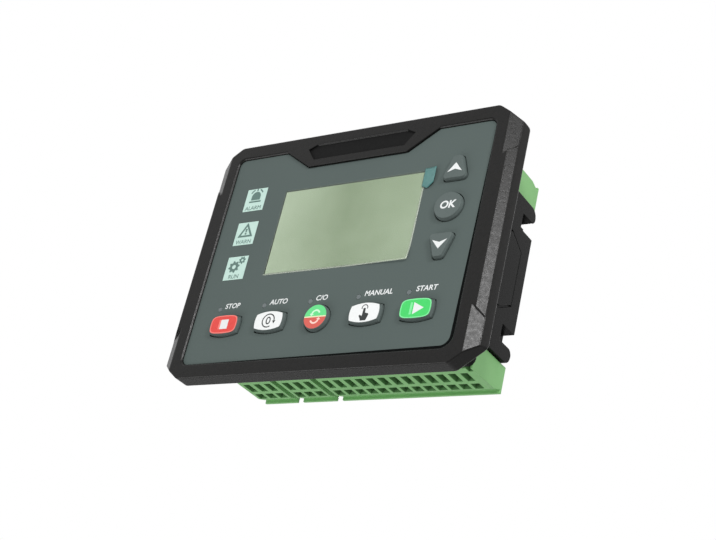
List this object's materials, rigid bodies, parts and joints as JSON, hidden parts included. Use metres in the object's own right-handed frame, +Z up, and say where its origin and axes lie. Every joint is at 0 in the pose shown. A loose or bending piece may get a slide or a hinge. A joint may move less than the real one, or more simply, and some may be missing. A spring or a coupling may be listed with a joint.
{
  "type": "genset controller",
  "caption": "Panel-mounted controller for a generating set: chamfered bezel, grey face with a display, indicator windows and raised keys, and plug-in terminal blocks on the rear housing.",
  "frame": {"origin": "middle of the panel plane, at the bezel's rear face", "axes": "+X right and +Z up when the face is looked at; the face looks towards -Y and the housing runs back along +Y"},
  "size_m": [0.143, 0.0447, 0.106],
  "materials": {
    "black_plastic": "fine moulded grain",
    "gasket_rubber": "matte",
    "face_sheet": "fine matte film",
    "display_window": "clear",
    "clear_film": "clear, glossy",
    "teal_tab": "gloss",
    "indicator_window": "translucent",
    "lamp_lens": "translucent",
    "display_cell": "grey green",
    "backlight": "white",
    "inner_black": "matte",
    "grey_silicone": "satin",
    "red_key": "satin print",
    "white_key": "satin print",
    "green_red_key": "satin print",
    "green_key": "satin print",
    "circuit_board": "solder mask",
    "plated_steel": "plated",
    "spacer_brass": "turned",
    "lamp_chip": "clear",
    "terminal_green": "moulded"
  },
  "bodies": {
    "controller": {"front_bezel": "black_plastic", "panel_gasket": "gasket_rubber", "face_overlay": "face_sheet", "lcd_window": "display_window", "protective_film": "clear_film", "film_tab": "teal_tab", "alarm_window": "indicator_window", "warning_window": "indicator_window", "running_window": "indicator_window", "lamp_lenses": "lamp_lens", "lcd_glass": "display_cell", "lcd_backlight": "backlight", "lcd_frame": "inner_black", "keypad_mat": "grey_silicone", "main_board": "circuit_board", "board_screws": "plated_steel", "lamp_chips": "lamp_chip", "control_chips": "inner_black", "board_connector": "inner_black", "board_spacers": "spacer_brass", "io_board": "circuit_board", "relays": "inner_black", "capacitors": "inner_black", "low_headers": "terminal_green", "high_headers": "terminal_green", "low_pins": "plated_steel", "high_pins": "plated_steel", "rear_housing": "black_plastic", "rear_screws": "plated_steel", "plug_low_left": "terminal_green", "plug_low_middle": "terminal_green", "plug_low_right": "terminal_green", "plug_high_left": "terminal_green", "plug_high_right": "terminal_green", "low_clamps": "plated_steel", "high_clamps": "plated_steel", "low_clamp_screws": "plated_steel", "high_clamp_screws": "plated_steel"},
    "key_up": {"key_up": "grey_silicone"},
    "key_ok": {"key_ok": "grey_silicone"},
    "key_down": {"key_down": "grey_silicone"},
    "key_stop": {"key_stop": "red_key"},
    "key_auto": {"key_auto": "white_key"},
    "key_transfer": {"key_transfer": "green_red_key"},
    "key_manual": {"key_manual": "white_key"},
    "key_start": {"key_start": "green_key"}
  },
  "joints": [
    {"name": "key_up_press", "type": "slide", "parent": "controller", "child": "key_up", "axis": [0, 1, 0], "range_m": [0, 0.0009], "stiffness_N_per_m": 900},
    {"name": "key_ok_press", "type": "slide", "parent": "controller", "child": "key_ok", "axis": [0, 1, 0], "range_m": [0, 0.0009], "stiffness_N_per_m": 900},
    {"name": "key_down_press", "type": "slide", "parent": "controller", "child": "key_down", "axis": [0, 1, 0], "range_m": [0, 0.0009], "stiffness_N_per_m": 900},
    {"name": "key_stop_press", "type": "slide", "parent": "controller", "child": "key_stop", "axis": [0, 1, 0], "range_m": [0, 0.0009], "stiffness_N_per_m": 900},
    {"name": "key_auto_press", "type": "slide", "parent": "controller", "child": "key_auto", "axis": [0, 1, 0], "range_m": [0, 0.0009], "stiffness_N_per_m": 900},
    {"name": "key_transfer_press", "type": "slide", "parent": "controller", "child": "key_transfer", "axis": [0, 1, 0], "range_m": [0, 0.0009], "stiffness_N_per_m": 900},
    {"name": "key_manual_press", "type": "slide", "parent": "controller", "child": "key_manual", "axis": [0, 1, 0], "range_m": [0, 0.0009], "stiffness_N_per_m": 900},
    {"name": "key_start_press", "type": "slide", "parent": "controller", "child": "key_start", "axis": [0, 1, 0], "range_m": [0, 0.0009], "stiffness_N_per_m": 900}
  ]
}
